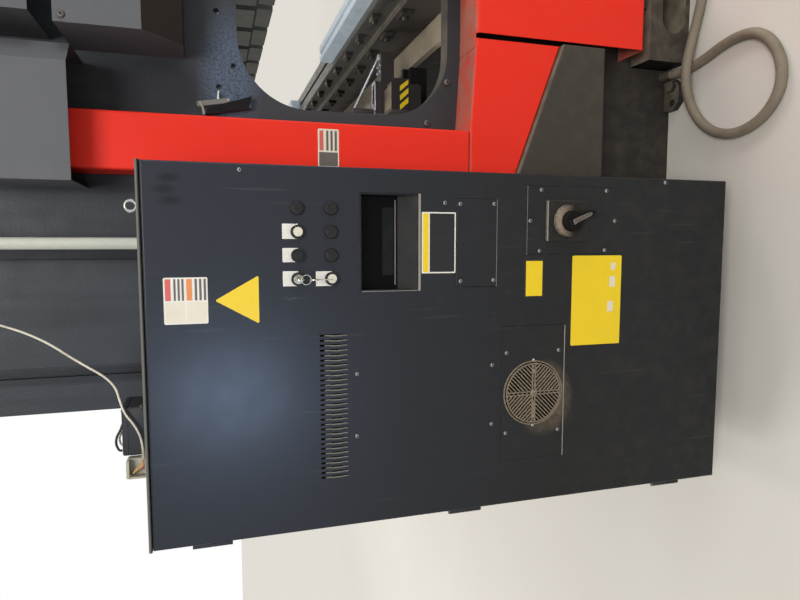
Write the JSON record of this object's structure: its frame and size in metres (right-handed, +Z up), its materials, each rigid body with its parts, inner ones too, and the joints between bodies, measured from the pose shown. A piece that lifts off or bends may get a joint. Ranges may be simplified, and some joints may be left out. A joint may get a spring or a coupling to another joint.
{
  "type": "cnc press brake",
  "caption": "Sheet-metal press brake with C-frames, hydraulic ram, V dies, back gauge, pendant, foot pedal and a side cabinet with fan, keyed switches and isolator.",
  "frame": {"origin": "middle of the bounding box at floor level, leaving out the cords and the foot pedal", "axes": "+X along the bending line away from the electrical cabinet, +Y from the operator to the back gauge, +Z up"},
  "size_m": [3.3918, 2.0066, 2.3003],
  "materials": {
    "frame_paint": "hammered blue-grey enamel",
    "table_paint": "worn dark grey enamel",
    "ledge_paint": "dusty grey enamel",
    "red_paint": "satin red powder coat",
    "guard_paint": "dark grey powder coat",
    "cover_paint": "grey powder coat",
    "ram_paint": "grey enamel",
    "cylinder_paint": "semi-gloss enamel",
    "rod_chrome": "hard chrome",
    "pipe_steel": "zinc plated",
    "tool_steel": "ground, lightly oiled",
    "holder_steel": "blackened",
    "clamp_steel": "plain steel",
    "gauge_paint": "dark grey enamel",
    "gauge_aluminium": "milled",
    "finger_steel": "blued",
    "screw_steel": "ground",
    "cabinet_paint": "fine-textured dark blue-grey powder coat",
    "black_plastic": "black",
    "white_plastic": "white",
    "guard_plastic": "dusty beige-grey",
    "escutcheon": "dark grey",
    "key_steel": "nickel plated",
    "hinge_steel": "painted with the cabinet",
    "conduit_grey": "pale grey",
    "zinc": "zinc plated",
    "gear_plastic": "light grey",
    "white_cord": "white sheath",
    "grey_cord": "grey sheath",
    "pedal_paint": "yellow enamel",
    "treadle_rubber": "ribbed rubber",
    "pendant_paint": "light grey enamel",
    "stop_red": "red"
  },
  "bodies": {
    "frame": {"left_side_frame": "frame_paint", "right_side_frame": "frame_paint", "tie_beams": "frame_paint", "bed_beam": "table_paint", "base_beam": "table_paint", "rear_ledge": "ledge_paint", "anchor_lugs": "frame_paint", "column_covers": "red_paint", "side_covers": "red_paint", "lower_guards": "guard_paint", "end_covers": "red_paint", "front_skirt": "red_paint", "head_covers": "cover_paint", "ram_covers": "cover_paint", "cylinders": "cylinder_paint", "ram_guides": "table_paint", "die_rail": "tool_steel", "v_dies": "tool_steel", "die_clamps": "clamp_steel", "hydraulic_tank": "cylinder_paint", "pump_motor": "cylinder_paint", "hydraulic_pipes": "pipe_steel", "gauge_stand": "gauge_paint", "cabinet_shell": "cabinet_paint", "cabinet_brackets": "cabinet_paint", "switchgear": "gear_plastic", "riser_conduit": "conduit_grey", "eyebolt": "zinc", "junction_box": "zinc", "signal_cord": "white_cord", "floor_cord": "grey_cord", "pedal_housing": "pedal_paint"},
    "ram": {"ram_beam": "ram_paint", "piston_rods": "rod_chrome", "tool_holders": "holder_steel", "punch": "tool_steel"},
    "carriages": {"gauge_carriages": "gauge_paint"},
    "left_screw": {"left_gauge_screw": "screw_steel"},
    "right_screw": {"right_gauge_screw": "screw_steel"},
    "crossbeam": {"gauge_beam": "gauge_aluminium"},
    "left_stop": {"left_finger": "finger_steel"},
    "right_stop": {"right_finger": "finger_steel"},
    "door": {"cabinet_door": "cabinet_paint", "access_panels": "cabinet_paint", "window_tray": "cabinet_paint", "switch_bezels": "black_plastic", "fan_guard": "guard_plastic", "fan_frame": "black_plastic", "disconnect_plate": "escutcheon", "door_hinges": "hinge_steel"},
    "rotor": {"fan_rotor": "black_plastic"},
    "key_switch": {"key": "key_steel"},
    "black_switch": {"black_button": "black_plastic"},
    "white_switch": {"white_button": "white_plastic"},
    "lower_switch": {"lower_button": "white_plastic"},
    "disconnect": {"disconnect_handle": "black_plastic"},
    "treadle": {"pedal_treadle": "treadle_rubber"},
    "boom": {"pendant_arm": "black_plastic"},
    "pendant": {"pendant_box": "pendant_paint"},
    "stop_switch": {"stop_button": "stop_red"}
  },
  "joints": [
    {"name": "ram_slide", "type": "slide", "parent": "frame", "child": "ram", "axis": [0, 0, -1], "range_m": [0, 0.14]},
    {"name": "gauge_slide", "type": "slide", "parent": "frame", "child": "carriages", "axis": [0, 1, 0], "range_m": [-0.042, 0.6]},
    {"name": "left_screw_spin", "type": "hinge", "parent": "frame", "child": "left_screw", "pos_m": [-0.7361, -0.2603, 0.69], "axis": [0, 1, 0], "continuous": true},
    {"name": "right_screw_spin", "type": "hinge", "parent": "frame", "child": "right_screw", "pos_m": [0.9339, -0.2603, 0.69], "axis": [0, 1, 0], "continuous": true},
    {"name": "crossbeam_lift", "type": "slide", "parent": "carriages", "child": "crossbeam", "axis": [0, 0, 1], "range_m": [0, 0.12]},
    {"name": "left_stop_slide", "type": "slide", "parent": "crossbeam", "child": "left_stop", "axis": [1, 0, 0], "range_m": [-0.03, 0.9]},
    {"name": "right_stop_slide", "type": "slide", "parent": "crossbeam", "child": "right_stop", "axis": [-1, 0, 0], "range_m": [-0.03, 0.9]},
    {"name": "door_hinge", "type": "hinge", "parent": "frame", "child": "door", "pos_m": [-1.6151, 0.9977, 0.833], "axis": [0, 0, -1], "range_deg": [0, 110]},
    {"name": "rotor_spin", "type": "hinge", "parent": "door", "child": "rotor", "pos_m": [-1.6291, 0.7167, 0.662], "axis": [1, 0, 0], "continuous": true},
    {"name": "key_turn", "type": "hinge", "parent": "door", "child": "key_switch", "pos_m": [-1.6291, 0.4317, 1.227], "axis": [1, 0, 0], "range_deg": [0, 60]},
    {"name": "black_press", "type": "slide", "parent": "door", "child": "black_switch", "axis": [1, 0, 0], "range_m": [0, 0.004], "stiffness_N_per_m": 400, "springref_m": -0.002},
    {"name": "white_press", "type": "slide", "parent": "door", "child": "white_switch", "axis": [1, 0, 0], "range_m": [0, 0.004], "stiffness_N_per_m": 400, "springref_m": -0.002},
    {"name": "lower_press", "type": "slide", "parent": "door", "child": "lower_switch", "axis": [1, 0, 0], "range_m": [0, 0.004], "stiffness_N_per_m": 400, "springref_m": -0.002},
    {"name": "disconnect_turn", "type": "hinge", "parent": "door", "child": "disconnect", "pos_m": [-1.6291, 0.3017, 0.577], "axis": [1, 0, 0], "range_deg": [0, 90]},
    {"name": "treadle_pivot", "type": "hinge", "parent": "frame", "child": "treadle", "pos_m": [-1.4051, -0.7803, 0.062], "axis": [1, 0, 0], "range_deg": [0, 10], "stiffness_Nm_per_rad": 20, "springref_deg": -6.88},
    {"name": "boom_swing", "type": "hinge", "parent": "frame", "child": "boom", "pos_m": [1.4569, -0.0083, 2.245], "axis": [0, 0, 1], "range_deg": [-35, 35]},
    {"name": "pendant_swivel", "type": "hinge", "parent": "boom", "child": "pendant", "pos_m": [1.4569, -0.9283, 1.65], "axis": [0, 0, 1], "range_deg": [-45, 45]},
    {"name": "stop_press", "type": "slide", "parent": "pendant", "child": "stop_switch", "axis": [0, 1, 0], "range_m": [0, 0.005], "stiffness_N_per_m": 400, "springref_m": -0.002}
  ],
  "couplings": [
    {"joint": "left_screw_spin", "follows": "gauge_slide", "rad_per_m": -251.33},
    {"joint": "right_screw_spin", "follows": "gauge_slide", "rad_per_m": -251.33}
  ]
}
